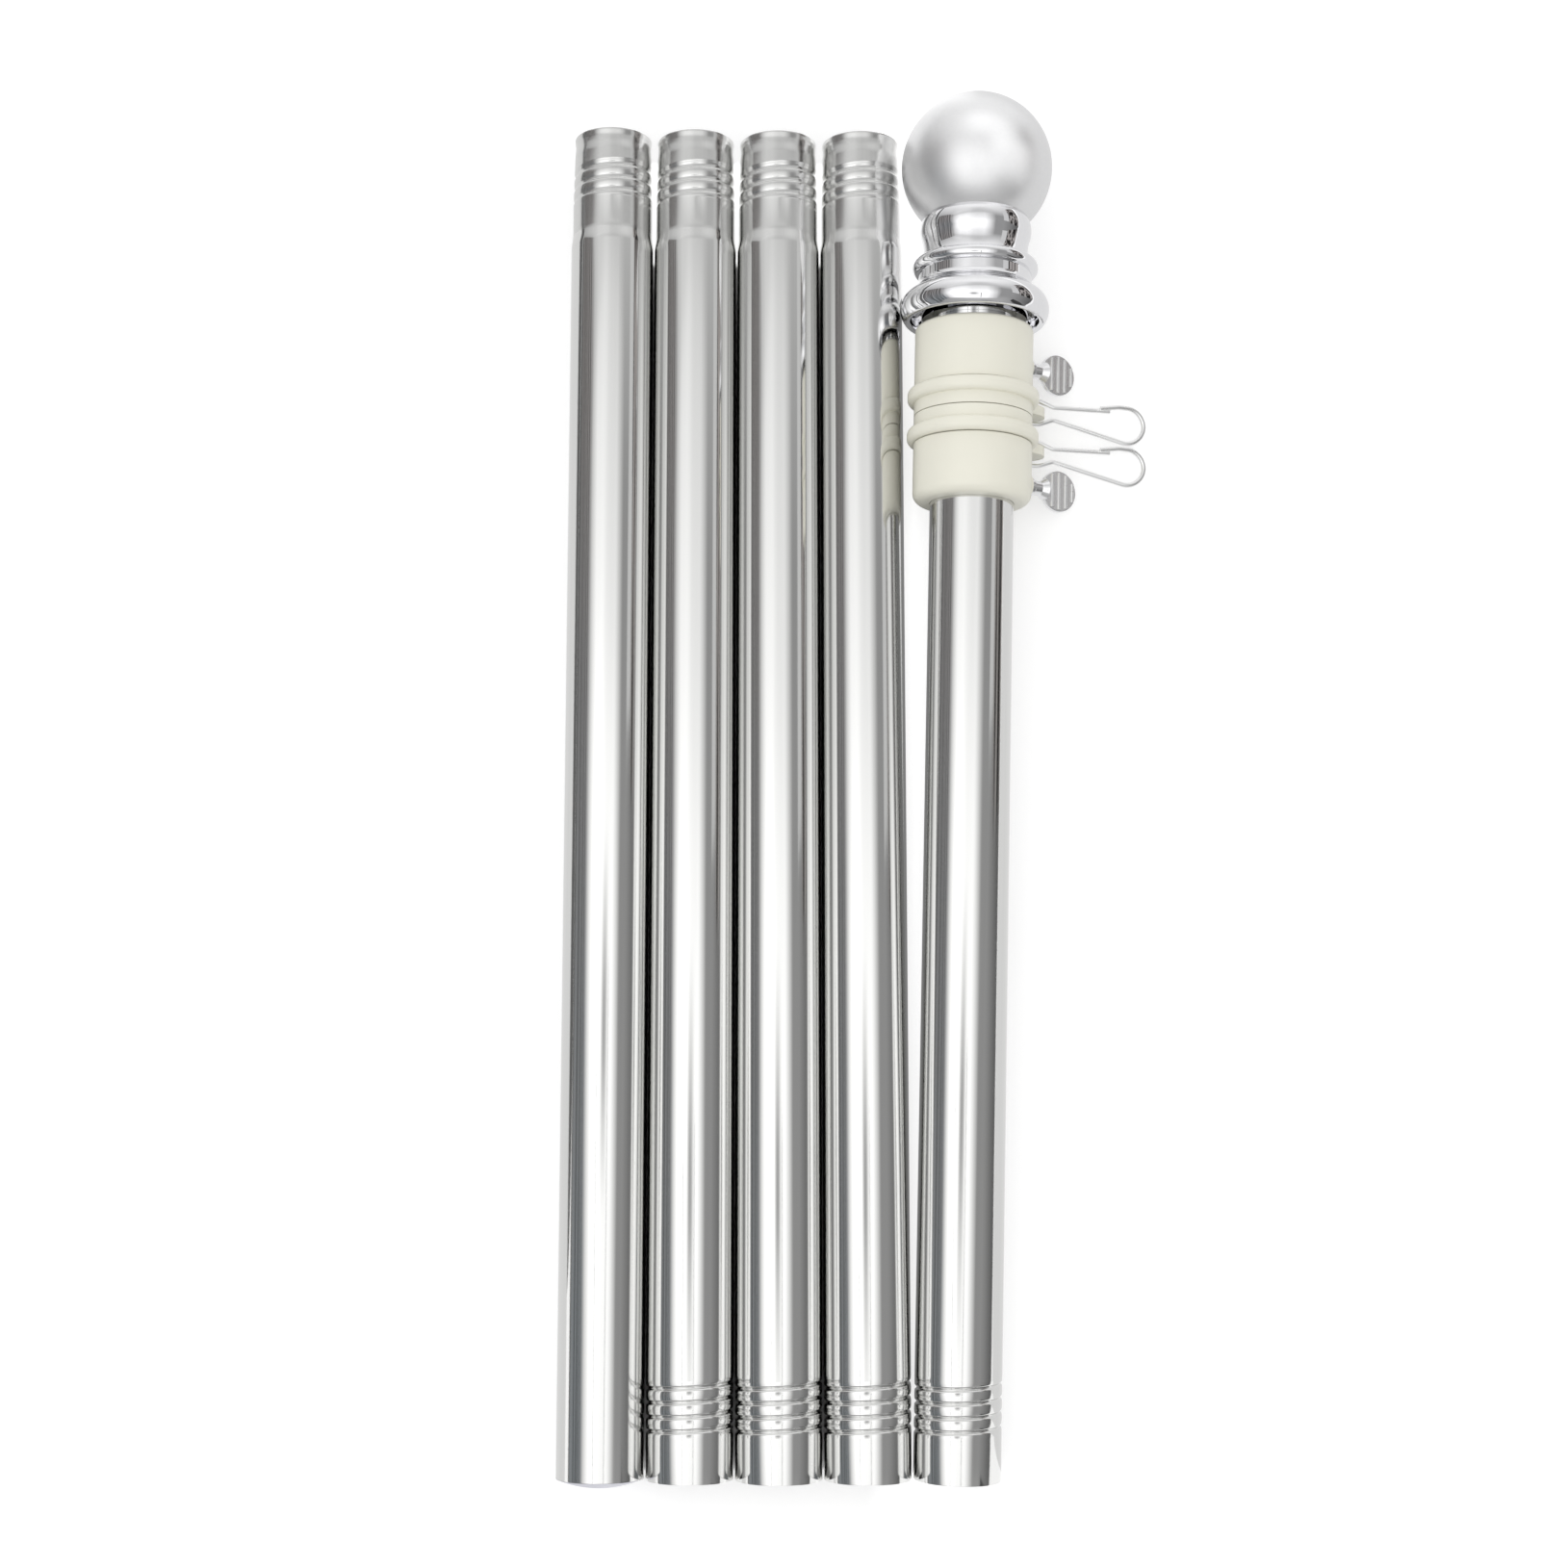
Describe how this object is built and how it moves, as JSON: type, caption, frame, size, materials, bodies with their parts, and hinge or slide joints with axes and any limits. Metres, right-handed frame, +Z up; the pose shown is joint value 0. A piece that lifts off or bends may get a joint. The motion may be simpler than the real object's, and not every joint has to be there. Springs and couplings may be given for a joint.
{
  "type": "sectional house flagpole, taken apart",
  "caption": "Take-apart house flagpole: side-by-side steel tube sections with rolled screw ends, and a top section with ball finial, swivel rings, thumbscrew collars and snap clips.",
  "frame": {"origin": "centre of the box's bottom face, on the surface that the kit lies on", "axes": "+Y along the sections towards the finial, +Z up, +X towards the top section's clips"},
  "size_m": [0.1796, 0.4176, 0.0471],
  "materials": {
    "polished_stainless": "polished, drawn lengthwise",
    "satin_silver": "satin",
    "mirror_chrome": "mirror",
    "bright_nickel": "bright plated",
    "spring_wire": "bright drawn wire",
    "ivory_plastic": "semi-gloss moulded",
    "plug_plastic": "satin moulded"
  },
  "bodies": {
    "kit": {"bottom_section_tube": "polished_stainless", "second_section_tube": "polished_stainless", "third_section_tube": "polished_stainless", "fourth_section_tube": "polished_stainless", "bottom_end_plug": "plug_plastic", "top_section_tube": "polished_stainless", "finial_ball": "satin_silver", "finial_neck": "mirror_chrome", "finial_liner": "mirror_chrome", "upper_collar": "ivory_plastic"},
    "upper_ring": {"upper_swivel_ring": "ivory_plastic"},
    "lower_ring": {"lower_swivel_ring": "ivory_plastic"},
    "upper_clip": {"upper_clip": "spring_wire"},
    "lower_clip": {"lower_clip": "spring_wire"},
    "upper_screw": {"upper_thumbscrew": "bright_nickel"},
    "lower_collar": {"lower_collar": "ivory_plastic"},
    "lower_screw": {"lower_thumbscrew": "bright_nickel"}
  },
  "joints": [
    {"name": "upper_ring_swivel", "type": "hinge", "parent": "kit", "child": "upper_ring", "pos_m": [0.03346, 0.10678, 0.02172], "axis": [-0.0246, -0.9993, -0.0287], "range_deg": [0, 190]},
    {"name": "lower_ring_swivel", "type": "hinge", "parent": "kit", "child": "lower_ring", "pos_m": [0.03346, 0.10678, 0.02172], "axis": [-0.0246, -0.9993, -0.0287], "range_deg": [0, 190]},
    {"name": "upper_clip_swing", "type": "hinge", "parent": "upper_ring", "child": "upper_clip", "pos_m": [0.05204, 0.11339, 0.00732], "axis": [0.0246, 0.9993, 0.0287], "range_deg": [-75, 0]},
    {"name": "lower_clip_swing", "type": "hinge", "parent": "lower_ring", "child": "lower_clip", "pos_m": [0.05171, 0.1001, 0.00694], "axis": [0.0246, 0.9993, 0.0287], "range_deg": [-75, 0]},
    {"name": "upper_screw_turn", "type": "hinge", "parent": "kit", "child": "upper_screw", "pos_m": [0.06129, 0.1254, 0.00647], "axis": [0.8661, -0.007, -0.4998], "continuous": true},
    {"name": "lower_collar_slide", "type": "slide", "parent": "kit", "child": "lower_collar", "axis": [-0.0246, -0.9993, -0.0287], "range_m": [0, 0.03]},
    {"name": "lower_screw_turn", "type": "hinge", "parent": "lower_collar", "child": "lower_screw", "pos_m": [0.06091, 0.08819, 0.00637], "axis": [0.883, -0.0083, -0.4693], "continuous": true}
  ]
}
